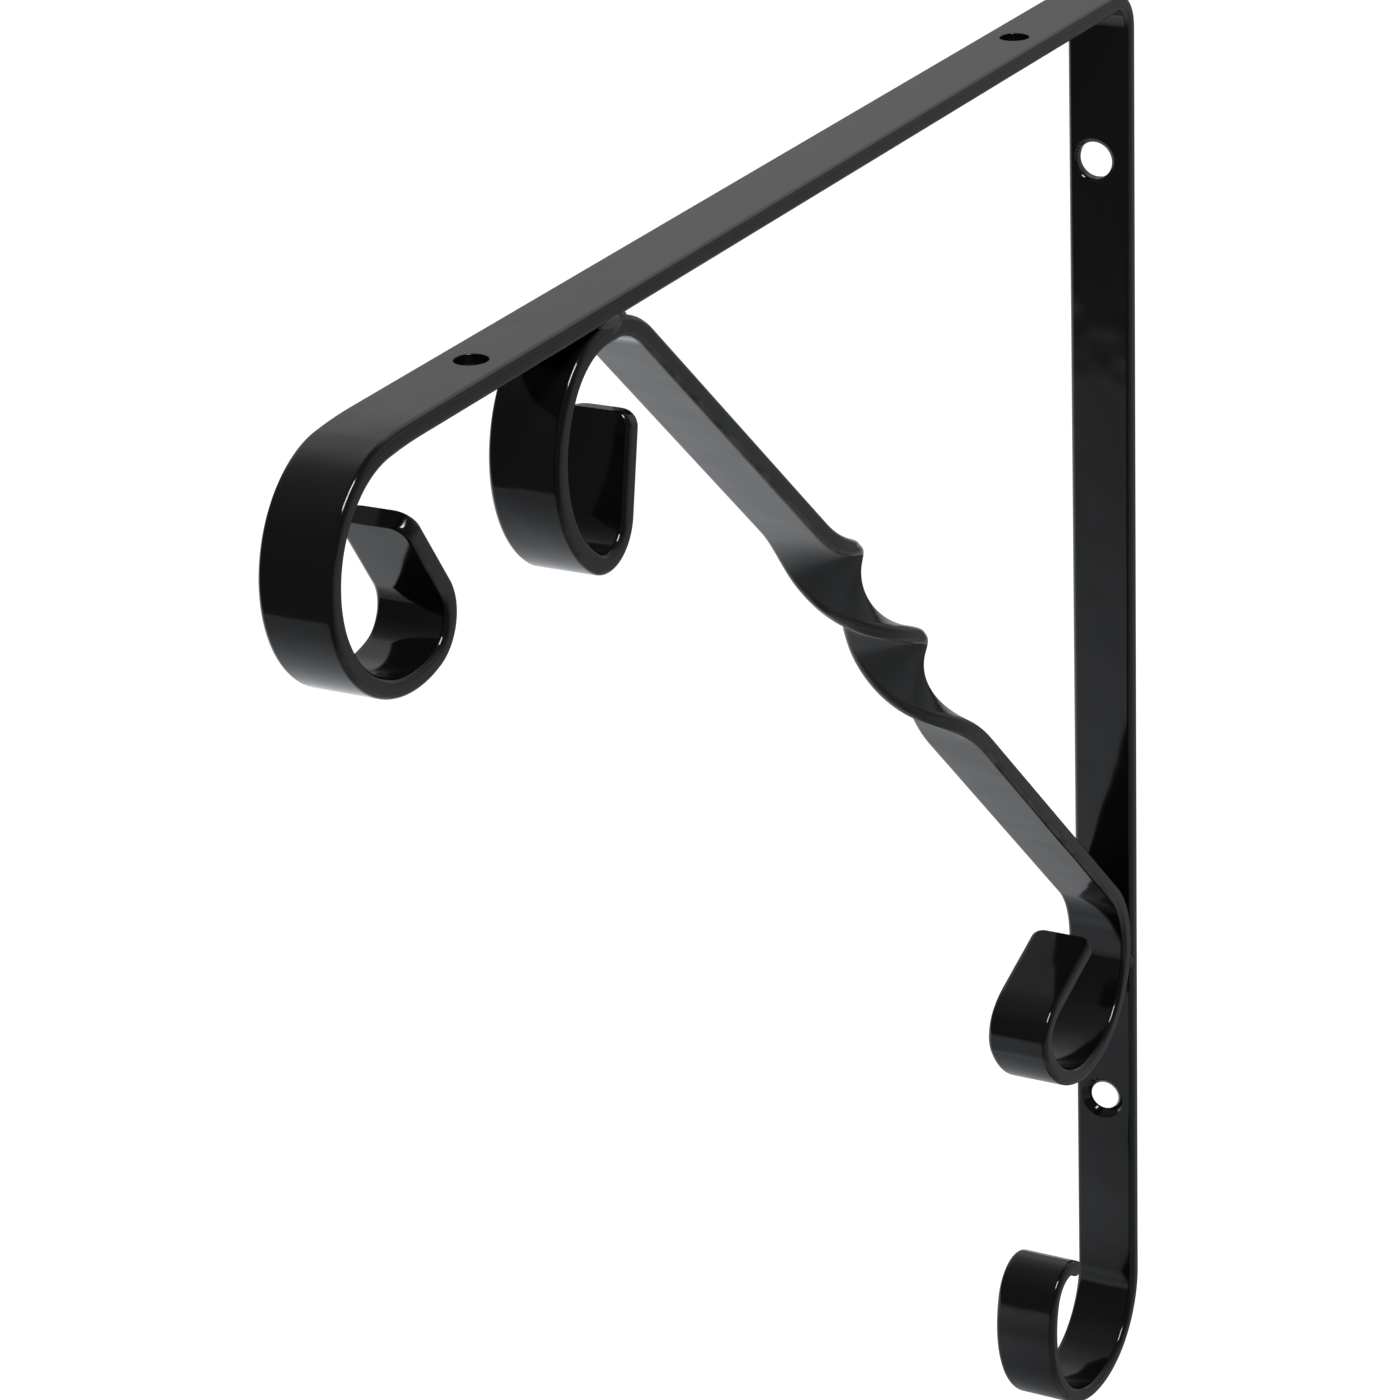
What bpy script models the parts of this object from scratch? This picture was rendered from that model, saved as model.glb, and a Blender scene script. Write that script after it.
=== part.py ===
"""Shelf bracket: a bent flat strip with scrolled ends and a scrolled, twisted brace welded inside it.

The origin is on the back face of the wall leg, midway between its two screw holes. The leg stands along Z with
its back at Y = 0, the shelf arm reaches towards -Y, and X runs across the width of the strips.
"""

from collections import namedtuple
from math import atan2, ceil, cos, pi, radians, sin

import bmesh
import bpy
from mathutils import Matrix, Vector

# Flat bar, in metres
STRIP_WIDTH = 0.012
FRAME_THICKNESS = 0.003
BRACE_THICKNESS = 0.0033
EDGE_RADIUS = 0.001
TIP_CORNER_RADIUS = 0.0025
LOWER_TIP_CORNER_RADIUS = 0.0015

# Wall leg and shelf arm
ARM_TOP = 0.12585
ARM_FRONT = -0.24265
LEG_FOOT = -0.1319
CORNER_INSIDE_RADIUS = 0.004

# Screw holes: distance from the wall along the arm; place across the leg and height on it
ARM_HOLE_DIAMETER = 0.005
ARM_HOLES_Y = (-0.0382, -0.2196)
LEG_HOLE_DIAMETER = 0.0065
LEG_HOLES_XZ = ((-0.0011, 0.09425), (-0.0005, -0.09425))

# Scrolls of the bent strip, from the straight run inwards: centreline radius and turn in degrees
FRONT_SCROLL = ((0.0856, 5.7), (0.0169, 124.5), (0.0187, 68.1), (0.0063, 105.1))
FRONT_TAIL = 0.0148
FOOT_SCROLL = ((0.01605, 75.0), (0.0215, 122.6), (0.0063, 105.4))
FOOT_TAIL = 0.0028

# Brace, upper half: it lies against the arm from UPPER_TOUCH_Y on, then slopes down to the twist
UPPER_TOUCH_Y = -0.19103
UPPER_FLAT = 0.0031
UPPER_BEND = ((0.0073, 13.2), (0.0163, 29.4))
UPPER_RUN = 0.0732
UPPER_SCROLL = ((0.014, 52.9), (0.019, 95.1), (0.0062, 110.7))
UPPER_TAIL = 0.0157

# Brace, lower half: it touches the leg at LOWER_TOUCH_Z
LOWER_TOUCH_Z = -0.0589
LOWER_BEND = ((0.01765, 46.2),)
LOWER_RUN = 0.0755
LOWER_SCROLL = ((0.01765, 73.8), (0.0205, 77.3), (0.0054, 78.4), (0.0122, 20.3))
LOWER_TAIL = 0.0158

# The twist is one full turn, which slows down towards its lower end
TWIST_TURN = 360.0
TWIST_EASE_IN = 0.164
TWIST_EASE_OUT = 0.276
TWIST_BOW = 0.0004
TWIST_SWAY = 0.0004

# Weld beads: the stretch of the notch that each fills, measured along the brace from the touching point, and
# the size of the bead at shares of its half length
UPPER_WELD_STRETCH = (0.0062, 0.0086)
LOWER_WELD_STRETCH = (0.0048, 0.0086)
WELD_OVERHANG = 0.0004
WELD_PROFILE = ((-1.0, 0.6), (-0.93, 0.9), (-0.8, 1.0), (0.0, 0.97), (0.8, 1.0), (0.93, 0.9), (1.0, 0.6))

# Clearance between pieces that touch
GAP = 0.0003

# Paint
BLACK = (0.012, 0.012, 0.013)
STRIP_ROUGHNESS = 0.28
WELD_ROUGHNESS = 0.4

# Fineness of the facets
ARC_STEP = 7.5
WELD_ARC_STEP = 2.5
TWIST_STEPS = 40
EDGE_SEGMENTS = 2
HOLE_SIDES = 32
SHARP_ANGLE = 35.0

Station = namedtuple("Station", "y z heading width twist", defaults=(STRIP_WIDTH, 0.0))


def clear_scene():
    for item in list(bpy.data.objects):
        bpy.data.objects.remove(item)


def paint(name, roughness):
    """Gloss black paint, as a Principled material."""
    material = bpy.data.materials.new(name)
    material.use_nodes = True
    shader = material.node_tree.nodes["Principled BSDF"]
    shader.inputs["Base Color"].default_value = (*BLACK, 1.0)
    shader.inputs["Roughness"].default_value = roughness
    shader.inputs["Metallic"].default_value = 0.0
    material.diffuse_color = (*BLACK, 1.0)
    return material


def straight(length):
    return (length, 0.0)


def arcs(pairs, side):
    """Runs for (radius, degrees) pairs that all turn to one side: +1 is left and -1 is right."""
    return [(radius * radians(turn), side * turn) for radius, turn in pairs]


def walk(y, z, heading, runs, step=ARC_STEP):
    """Stations along straight runs and arcs in the YZ plane; heading 0 points to +Y and 90 to +Z."""
    angle = radians(heading)
    stations = [Station(y, z, angle)]
    for length, turn in runs:
        steps = max(1, ceil(abs(turn) / step))
        half = radians(turn) / steps / 2
        chord = length / steps * (sin(half) / half if half else 1.0)
        for _ in range(steps):
            y += chord * cos(angle + half)
            z += chord * sin(angle + half)
            angle += 2 * half
            stations.append(Station(y, z, angle))
    return stations


def backwards(stations):
    return [station._replace(heading=station.heading + pi) for station in reversed(stations)]


def rounded_tip(stations, radius=TIP_CORNER_RADIUS):
    """The last station becomes a cut end whose two corners are rounded in the plane of the strip."""
    tip = stations[-1]
    rounded = []
    for share in (0.0, 30.0, 60.0, 90.0):
        back = radius * (1 - sin(radians(share)))
        inset = radius * (1 - cos(radians(share)))
        rounded.append(tip._replace(y=tip.y - back * cos(tip.heading), z=tip.z - back * sin(tip.heading),
                                    width=STRIP_WIDTH - 2 * inset))
    return stations[:-1] + rounded


def rounded_rectangle(width, thickness):
    """Outline of the bar's section, with EDGE_RADIUS on its four edges."""
    points = []
    for quarter, (side_x, side_y) in enumerate(((1, 1), (-1, 1), (-1, -1), (1, -1))):
        for k in range(EDGE_SEGMENTS + 1):
            angle = pi / 2 * (quarter + k / EDGE_SEGMENTS)
            points.append((side_x * (width / 2 - EDGE_RADIUS) + EDGE_RADIUS * cos(angle),
                           side_y * (thickness / 2 - EDGE_RADIUS) + EDGE_RADIUS * sin(angle)))
    return points


def station_matrix(station):
    """Local X across the strip and local Y through it, turned by the twist about the strip's direction."""
    across = Vector((1, 0, 0))
    through = Vector((0, -sin(station.heading), cos(station.heading)))
    x_axis = across * cos(station.twist) + through * sin(station.twist)
    y_axis = through * cos(station.twist) - across * sin(station.twist)
    matrix = Matrix((x_axis, y_axis, x_axis.cross(y_axis))).transposed().to_4x4()
    matrix.translation = (0, station.y, station.z)
    return matrix


def new_object(name, bm, material):
    bmesh.ops.recalc_face_normals(bm, faces=bm.faces)
    mesh = bpy.data.meshes.new(name)
    bm.to_mesh(mesh)
    bm.free()
    mesh.shade_smooth()
    mesh.set_sharp_from_angle(angle=radians(SHARP_ANGLE))
    mesh.materials.append(material)
    item = bpy.data.objects.new(name, mesh)
    bpy.context.scene.collection.objects.link(item)
    return item


def extrude_through(outlines):
    """A closed mesh that runs through equal outlines, each a list of points in space."""
    bm = bmesh.new()
    face = bm.faces.new([bm.verts.new(point) for point in outlines[0]])
    for count, outline in enumerate(outlines[1:]):
        made = bmesh.ops.extrude_face_region(bm, geom=[face])["geom"]
        if count:
            bm.faces.remove(face)
        face = next(item for item in made if isinstance(item, bmesh.types.BMFace))
        for vert, point in zip(face.verts, outline):
            vert.co = point
    return bm


def strip(name, stations, thickness, material):
    """The flat bar swept along its stations."""
    outlines = []
    for station in stations:
        matrix = station_matrix(station)
        section = rounded_rectangle(station.width, thickness)
        outlines.append([matrix @ Vector((x, y, 0)) for x, y in section])
    return new_object(name, extrude_through(outlines), material)


def drill(item, name, centre, axis, diameter):
    """A screw hole, cut by a hidden cylinder."""
    bm = bmesh.new()
    bmesh.ops.create_cone(bm, cap_ends=True, segments=HOLE_SIDES, radius1=diameter / 2, radius2=diameter / 2,
                          depth=4 * FRAME_THICKNESS)
    turn = Vector((0, 0, 1)).rotation_difference(axis).to_matrix().to_4x4()
    bmesh.ops.transform(bm, matrix=Matrix.Translation(centre) @ turn, verts=bm.verts)
    cutter = new_object(name, bm, item.data.materials[0])
    cutter.hide_render = True
    cutter.display_type = "WIRE"
    cut = item.modifiers.new(name, "BOOLEAN")
    cut.operation = "DIFFERENCE"
    cut.solver = "EXACT"
    cut.object = cutter


def wall_and_shelf_strip(material):
    arm_middle = ARM_TOP - FRAME_THICKNESS / 2
    bend_radius = CORNER_INSIDE_RADIUS + FRAME_THICKNESS / 2
    arm_length = -FRAME_THICKNESS / 2 - bend_radius - ARM_FRONT
    leg_length = arm_middle - bend_radius - LEG_FOOT
    front = walk(ARM_FRONT, arm_middle, 180, arcs(FRONT_SCROLL, 1) + [straight(FRONT_TAIL)])
    rest = walk(ARM_FRONT, arm_middle, 0,
                [straight(arm_length)] + arcs(((bend_radius, 90.0),), -1) + [straight(leg_length)]
                + arcs(FOOT_SCROLL, -1) + [straight(FOOT_TAIL)])
    stations = backwards(rounded_tip(front))[:-1] + rounded_tip(rest, LOWER_TIP_CORNER_RADIUS)
    item = strip("wall_and_shelf_strip", stations, FRAME_THICKNESS, material)
    for count, y in enumerate(ARM_HOLES_Y, 1):
        drill(item, f"arm_hole_{count}", Vector((0, y, arm_middle)), Vector((0, 0, 1)), ARM_HOLE_DIAMETER)
    for count, (x, z) in enumerate(LEG_HOLES_XZ, 1):
        centre = Vector((x, -FRAME_THICKNESS / 2, z))
        drill(item, f"leg_hole_{count}", centre, Vector((0, 1, 0)), LEG_HOLE_DIAMETER)


def upper_touch():
    """Centreline point from which the brace lies against the underside of the arm."""
    return UPPER_TOUCH_Y, ARM_TOP - FRAME_THICKNESS - GAP - BRACE_THICKNESS / 2


def lower_touch():
    """Centreline point where the brace touches the front of the leg."""
    return -FRAME_THICKNESS - GAP - BRACE_THICKNESS / 2, LOWER_TOUCH_Z


def eased_turn(share):
    """Part of the full turn reached at a share of the twist's length: speeding up, steady, slowing down."""
    steady = 1 / (1 - TWIST_EASE_IN / 2 - TWIST_EASE_OUT / 2)
    if share < TWIST_EASE_IN:
        return steady * share ** 2 / (2 * TWIST_EASE_IN)
    if share > 1 - TWIST_EASE_OUT:
        return 1 - steady * (1 - share) ** 2 / (2 * TWIST_EASE_OUT)
    return steady * (share - TWIST_EASE_IN / 2)


def upper_slope():
    """Runs of the brace from the arm to where the slope begins."""
    return [straight(UPPER_FLAT)] + arcs(UPPER_BEND, -1)


def twisted_stations(start, end):
    """Stations of the twist, on a smooth curve from one straight half of the brace to the other."""
    first = Vector((start.y, start.z))
    last = Vector((end.y, end.z))
    length = (last - first).length
    leave = Vector((cos(start.heading), sin(start.heading))) * length
    arrive = Vector((cos(end.heading), sin(end.heading))) * length
    side = Vector((first.y - last.y, last.x - first.x)).normalized()
    points = []
    for k in range(TWIST_STEPS + 1):
        u = k / TWIST_STEPS
        points.append(first * (2 * u ** 3 - 3 * u ** 2 + 1) + leave * (u ** 3 - 2 * u ** 2 + u)
                      + last * (3 * u ** 2 - 2 * u ** 3) + arrive * (u ** 3 - u ** 2)
                      + side * (TWIST_BOW * sin(pi * u) ** 2 + TWIST_SWAY * sin(2 * pi * u) * sin(pi * u)))
    stations = []
    for k in range(1, TWIST_STEPS):
        ahead = points[k + 1] - points[k - 1]
        turn = radians(TWIST_TURN) * eased_turn(k / TWIST_STEPS)
        stations.append(Station(points[k].x, points[k].y, atan2(ahead.y, ahead.x), STRIP_WIDTH, turn))
    return stations


def scrolled_brace(material):
    scroll = walk(*upper_touch(), 180, arcs(UPPER_SCROLL, 1) + [straight(UPPER_TAIL)])
    upper = walk(*upper_touch(), 0, upper_slope() + [straight(UPPER_RUN)])
    lower = backwards(walk(*lower_touch(), 90, arcs(LOWER_BEND, 1) + [straight(LOWER_RUN)]))
    foot = walk(*lower_touch(), -90, arcs(LOWER_SCROLL, -1) + [straight(LOWER_TAIL)])
    twist = twisted_stations(upper[-1], lower[0])
    full = radians(TWIST_TURN)
    turned = [station._replace(twist=full) for station in lower[:-1] + rounded_tip(foot, LOWER_TIP_CORNER_RADIUS)]
    stations = backwards(rounded_tip(scroll))[:-1] + upper + twist + turned
    strip("scrolled_brace", stations, BRACE_THICKNESS, material)


def weld_bead(name, touch, heading, runs, flat_axis, flat_level, stretch, material):
    """A fillet bead in the wedge between a flat face and the brace, which bends away from it to the right."""
    fine = walk(*touch, heading, runs, step=WELD_ARC_STEP)
    offset = BRACE_THICKNESS / 2 + GAP
    travelled = 0.0
    curved = []
    for before, after in zip(fine, fine[1:]):
        travelled += Vector((after.y - before.y, after.z - before.z)).length
        if stretch[0] <= travelled <= stretch[1]:
            curved.append(Vector((after.y - offset * sin(after.heading), after.z + offset * cos(after.heading))))
    flat = []
    for point in (curved[-1], curved[0]):
        foot = point.copy()
        foot[flat_axis] = flat_level
        flat.append(foot)
    outline = curved + flat
    middle = sum(outline, Vector((0, 0))) / len(outline)
    half = STRIP_WIDTH / 2 + WELD_OVERHANG
    outlines = []
    for share, scale in WELD_PROFILE:
        ring = [middle + (point - middle) * scale for point in outline]
        outlines.append([Vector((share * half, point.x, point.y)) for point in ring])
    new_object(name, extrude_through(outlines), material)


def main():
    clear_scene()
    wall_and_shelf_strip(paint("bent_strip_black", STRIP_ROUGHNESS))
    scrolled_brace(paint("brace_black", STRIP_ROUGHNESS))
    weld_bead("upper_weld", upper_touch(), 0, upper_slope(), 1, ARM_TOP - FRAME_THICKNESS - GAP,
              UPPER_WELD_STRETCH, paint("upper_weld_black", WELD_ROUGHNESS))
    weld_bead("lower_weld", lower_touch(), -90, arcs(LOWER_SCROLL[:1], -1), 0, -FRAME_THICKNESS - GAP,
              LOWER_WELD_STRETCH, paint("lower_weld_black", WELD_ROUGHNESS))


main()
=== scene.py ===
"""Shelf bracket: the fine surfaces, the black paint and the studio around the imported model.

Metres, in the model's own frame: the wall is the plane Y = 0, the shelf arm reaches towards -Y, and X runs
across the strips.
"""

from collections import namedtuple
from math import atan2, ceil, cos, pi, radians, sin

import bmesh
import bpy
from bpy.props import FloatProperty, FloatVectorProperty, PointerProperty
from mathutils import Matrix, Vector


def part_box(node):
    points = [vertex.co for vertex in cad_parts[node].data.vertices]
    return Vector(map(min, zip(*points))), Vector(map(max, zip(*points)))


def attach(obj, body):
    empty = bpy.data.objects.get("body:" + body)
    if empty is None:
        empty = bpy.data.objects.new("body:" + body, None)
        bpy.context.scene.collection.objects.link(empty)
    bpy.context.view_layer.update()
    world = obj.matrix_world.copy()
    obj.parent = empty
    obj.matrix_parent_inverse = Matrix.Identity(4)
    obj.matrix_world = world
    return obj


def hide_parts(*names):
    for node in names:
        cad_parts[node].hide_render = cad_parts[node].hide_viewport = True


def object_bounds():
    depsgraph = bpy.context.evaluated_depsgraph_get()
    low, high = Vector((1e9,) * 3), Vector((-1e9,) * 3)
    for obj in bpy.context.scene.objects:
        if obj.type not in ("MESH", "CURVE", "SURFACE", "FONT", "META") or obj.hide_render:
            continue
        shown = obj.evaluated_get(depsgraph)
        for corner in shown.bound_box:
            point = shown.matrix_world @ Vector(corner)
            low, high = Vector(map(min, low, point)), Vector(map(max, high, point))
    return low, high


bl_info = {
    "name": "Scrolled Shelf Bracket",
    "version": (1, 0, 0),
    "blender": (4, 5, 0),
    "location": "3D View > Sidebar > Bracket",
    "description": "Bent flat-bar shelf bracket with a scrolled, twisted brace, in gloss black paint",
    "category": "Object",
}

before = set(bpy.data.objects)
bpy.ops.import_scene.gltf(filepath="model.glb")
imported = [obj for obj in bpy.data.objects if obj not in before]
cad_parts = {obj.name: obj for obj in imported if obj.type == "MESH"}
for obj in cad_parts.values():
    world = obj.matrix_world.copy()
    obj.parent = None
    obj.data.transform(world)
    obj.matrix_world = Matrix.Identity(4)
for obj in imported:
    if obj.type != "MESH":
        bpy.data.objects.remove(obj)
CAD_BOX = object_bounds()
STRIP_LOW, STRIP_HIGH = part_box("wall_and_shelf_strip")

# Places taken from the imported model
STRIP_WIDTH = STRIP_HIGH[0] - STRIP_LOW[0]
ARM_TOP = STRIP_HIGH[2]
LEG_BACK = STRIP_HIGH[1]

# Runs of the bent strip
ARM_FRONT = -0.24258
LEG_FOOT = -0.1319
ARM_HOLES_Y = (-0.0382, -0.2196)

# Screw holes of the leg: place across it, height, diameter, size of the rims and their roundness
LEG_HOLES = (
    (-0.0011, 0.09425, 0.0067, 0.0009, 1.0),
    (-0.0005, -0.09425, 0.0056, 0.00145, 0.25),
)

# Hole cutter: share of the quarter circle that a rim follows, reach past the faces, and merging distance
RIM_SWEEP = 0.96
CUTTER_REACH = 0.001
MERGE_DISTANCE = 1e-6

# Scrolls of the bent strip, from the straight run inwards: centreline radius and turn in degrees; a tail is
# the straight piece at a scroll's end
FRONT_SCROLL = ((0.0856, 5.7), (0.01693, 124.5), (0.01868, 68.1), (0.00628, 105.1))
FRONT_TAIL = 0.0148
FOOT_SCROLL = ((0.01605, 75.0), (0.0215, 122.6), (0.0063, 105.4))
FOOT_TAIL = 0.0028

# Brace, upper half: it lies against the arm from UPPER_TOUCH_Y on, then slopes down to the twist
UPPER_TOUCH_Y = -0.19103
UPPER_FLAT = 0.0031
UPPER_BEND = ((0.0073, 13.2), (0.0163, 29.4))
UPPER_RUN = 0.0732
UPPER_SCROLL = ((0.01397, 52.9), (0.01895, 95.1), (0.00615, 110.7))
UPPER_TAIL = 0.0157

# Brace, lower half: it touches the leg at LOWER_TOUCH_Z
LOWER_TOUCH_Z = -0.05887
LOWER_BEND = ((0.01765, 46.2),)
LOWER_RUN = 0.0755
LOWER_SCROLL = ((0.01765, 73.8), (0.02048, 77.3), (0.0054, 78.4), (0.0122, 20.3))
LOWER_TAIL = 0.0158

# The twist is one full turn; the eases are the shares of its length in which it speeds up and slows down
TWIST_TURN = 360.0
TWIST_EASE_IN = 0.164
TWIST_EASE_OUT = 0.276

# The twist's middle line bows and sways a little, and its middle is wider, with fuller rounded edges
TWIST_BOW = 0.0004
TWIST_SWAY = 0.0004
TWIST_WIDENING = 0.0007
TWIST_ROUNDING = 0.45

# Duller paint on the twist: front and back end along Y, length of the passage and added roughness
TWIST_DULLED = (-0.136, -0.055, 0.014, 0.17)

# Rows of weld lumps in the wedges behind the joints: place along Y and Z, and half sizes along X, Y and Z
UPPER_ROW = ((-0.1869, 0.12277), (0.0009, 0.0011, 0.00058))
LOWER_ROW = ((-0.00345, -0.06315), (0.0009, 0.0005, 0.0014))
ROW_LUMPS = 11
ROW_INSET = 0.0007

# Unevenness of a row: shift across the strips, shift along Y and Z, change of size, and how fast the shifts
# come and go from lump to lump
ROW_SHIFT_ACROSS = 0.0001
ROW_SHIFT = 0.00008
ROW_GROWTH = 0.10
ROW_SWAY_PACE = 2.1
ROW_DRIFT_PACE = 3.3

# Weld lumps on the near side of the upper joint: middle, half sizes, and tilt in degrees about X
UPPER_RUNS = (
    ((0.0051, -0.1899, 0.1228), (0.0011, 0.0034, 0.0013), 0.0),
    ((0.0052, -0.1872, 0.1229), (0.00105, 0.0009, 0.0009), 0.0),
    ((0.0053, -0.1892, 0.122), (0.00085, 0.0017, 0.0009), 0.0),
    ((0.0054, -0.1877, 0.1223), (0.0008, 0.0007, 0.0015), -35.0),
    ((0.0054, -0.1889, 0.1217), (0.0008, 0.0007, 0.0021), -62.0),
)

# The same lumps on the far side sit a little further back and tilt less
FAR_SIDE_SHIFT = 0.0003
FAR_SIDE_TILT = 0.8

# Fineness of the surfaces; the steps of arcs and tips and the sharp angle are in degrees
ARC_STEP = 2.0
TIP_STEP = 10
TWIST_STEPS = 144
EDGE_SEGMENTS = 6
HOLE_SIDES = 72
RIM_SEGMENTS = 5
LUMP_SEGMENTS = (24, 16)
WELD_SMOOTHING = 3
SHARP_ANGLE = 40.0

# Clean paint
PAINT_IOR = 1.5
WAVES_PER_METRE = 110.0

# Specks caught in the paint: random values between which a cell's speck grows, and its least and added
# radius as a share of the cell
NIB_CELLS = (0.55, 1.0)
NIB_LEAST = 0.0001
NIB_ADDED = 0.03

# Settled dust, from where it begins to where it is full: looking upwards, patches and grains
DUST_FACING = (0.35, 1.0)
DUST_PATCHES = (0.3, 0.75)
DUST_GRAINS = (0.35, 0.75)
DUST_GRAINS_PER_METRE = 2600.0

# Dust left between the grains, its share of the colour, and the roughness that it adds
DUST_BETWEEN = 0.45
DUST_VEIL = 0.035
DUST_ROUGHNESS = 0.1

# Worn paint, lighter along the edges that look down as a painted highlight, from where it begins to where it
# is full: stretches, looking down and edge; added roughness
WEAR_AND_HIGHLIGHT_STRETCHES = (0.3, 0.65)
WEAR_AND_HIGHLIGHT_FACING = (-0.1, -0.5)
WEAR_AND_HIGHLIGHT_EDGE = (0.2, 0.9)
WEAR_ROUGHNESS = 0.12

# Camera, found from the photograph: frame, focal length and image centre in pixels, sensor in millimetres,
# place in metres and angles in degrees
IMAGE_SIDE = 1400.0
FOCAL_PIXELS = 4616.53
CENTRE_PIXEL = (592.878, 798.469)
SENSOR = 36.0
CAMERA_PLACE = (0.3212, -0.7387, 0.32875)
CAMERA_AZIMUTH = 30.479
CAMERA_ELEVATION = 23.896
CAMERA_ROLL = -3.156

# Soft lights of the studio: azimuth from +Y towards +X, height, closeness to its centre, brightness, tint
SOFT_LIGHTS = (
    (-57, 41, 24.0, 0.67, (0.97, 1.0, 1.03)),
    (46, 19, 13.0, 0.33, (1.01, 1.01, 0.98)),
    (11, 0, 18.0, 0.37, (1.02, 1.02, 0.93)),
    (-33, 20, 25.0, 0.42, (1.0, 1.005, 1.0)),
    (-95, 58, 8.0, 0.12, (0.97, 1.0, 1.03)),
    (-3, 38, 28.0, 0.7, (1.0, 1.0, 1.0)),
)

# Oblong light over the near side: azimuth, height, distance, length and width
OBLONG_LIGHT = (131, 61.5, 1.6, 0.62, 0.34)

# Floor's glow, painted with a shadow under the bracket and light to the sides: brightness under the bracket,
# growth to the right, extra to the left, its power and its reach
FLOOR_UNDER = 0.19
FLOOR_RIGHT = 0.48
FLOOR_LEFT_EXTRA = 2.26
FLOOR_GROWTH = 0.73
FLOOR_SIDE_LIMIT = 0.35

# Floor's painted darkening to the front and back and its painted bright patch: where each begins and is
# full, and how much
FLOOR_FRONT = (-0.15, -0.55, 0.645)
FLOOR_BACK = (0.0, 0.5, 0.31)
PATCH_FRONT = (-0.105, -0.075)
PATCH_BACK = (-0.045, -0.07)
PATCH_SIDE = (0.07, 0.04)
PATCH_GAIN = 0.45

# What the camera sees of the floor and of the room
SEEN_WHITE = (1.0, 1.0, 1.0, 1.0)
SEEN_STRENGTH = 1.1

Station = namedtuple("Station", "y z heading width twist rounding", defaults=(STRIP_WIDTH, 0.0, 1.0))


class BracketSizes(bpy.types.PropertyGroup):
    frame_thickness: FloatProperty(name="Strip thickness", description="Thickness of the bent strip",
                                   default=0.003, subtype="DISTANCE")
    brace_thickness: FloatProperty(name="Brace thickness", description="Thickness of the brace",
                                   default=0.0033, subtype="DISTANCE")
    edge_radius: FloatProperty(name="Edge radius", description="Rounding along the edges of the flat bar",
                               default=0.001, subtype="DISTANCE")
    tip_corner_radius: FloatProperty(name="Tip corner radius",
                                     description="Rounding of the corners at the cut ends of the strips",
                                     default=0.0025, subtype="DISTANCE")
    corner_inside_radius: FloatProperty(name="Corner radius",
                                        description="Inside radius of the right-angled bend",
                                        default=0.004, subtype="DISTANCE")
    arm_hole: FloatProperty(name="Shelf screw hole", description="Diameter of the holes in the arm",
                            default=0.005, subtype="DISTANCE")
    rim_radius: FloatProperty(name="Hole rim radius", description="Rounding of the rims of the arm's holes",
                              default=0.00015, subtype="DISTANCE")
    lower_tip_radius: FloatProperty(name="Lower tip radius",
                                    description="Rounding of the corners at the lower end of each strip",
                                    default=0.0015, subtype="DISTANCE")
    weld_grain: FloatProperty(name="Weld fineness",
                              description="Side of the cells that join the weld metal",
                              default=0.00012, subtype="DISTANCE", precision=5)


class BracketPaint(bpy.types.PropertyGroup):
    black: FloatVectorProperty(name="Paint", description="Colour of the gloss paint", subtype="COLOR",
                               default=(0.0040, 0.0040, 0.0042), min=0.0, max=1.0)
    # This light colour of rubbed paint also stands as a painted highlight along the edges that look down
    thin_paint_and_highlight: FloatVectorProperty(name="Thin paint and highlight", description="Colour of the paint where edges wear it thin",
                              subtype="COLOR", default=(0.11, 0.102, 0.083), min=0.0, max=1.0)
    dust: FloatVectorProperty(name="Dust", description="Colour of the dust that settles on the paint",
                              subtype="COLOR", default=(0.17, 0.175, 0.18), min=0.0, max=1.0)
    roughness: FloatProperty(name="Roughness", description="Roughness of clean paint", default=0.09,
                             min=0.0, max=1.0, subtype="FACTOR")
    wave_depth: FloatProperty(name="Wave depth", description="Depth of the slow waves in the dried paint",
                              default=0.00013, subtype="DISTANCE", precision=6)
    peel_depth: FloatProperty(name="Orange peel", description="Depth of the fine pebbled skin of the paint",
                              default=0.0000012, subtype="DISTANCE", precision=7)
    nib_height: FloatProperty(name="Nib height", description="Height of the specks caught in the paint",
                              default=0.00005, subtype="DISTANCE", precision=6)


class BracketStage(bpy.types.PropertyGroup):
    floor_drop: FloatProperty(name="Floor drop", description="Depth of the floor below the bracket",
                              default=0.0132, subtype="DISTANCE")
    floor_front: FloatProperty(name="Floor front",
                               description="Distance of the floor's front edge from the wall",
                               default=0.61, subtype="DISTANCE")
    floor_side: FloatProperty(name="Floor side", description="Side of the square floor", default=8.0,
                              subtype="DISTANCE")
    floor_tint: FloatVectorProperty(name="Floor tint", description="Tint of the pale floor", subtype="COLOR",
                                    default=(0.965, 1.0, 1.04), min=0.0, max=2.0)
    room: FloatProperty(name="Room brightness",
                        description="Brightness of the dim room around the lights", default=0.108)
    oblong_strength: FloatProperty(name="Oblong light",
                                   description="Brightness of the oblong overhead light", default=20.0)


def straight(length):
    """A run that doesn't turn."""
    return (length, 0.0)


def arcs(pairs, side):
    """Runs for (radius, degrees) pairs that all turn to one side: +1 is left and -1 is right."""
    return [(radius * radians(turn), side * turn) for radius, turn in pairs]


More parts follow.
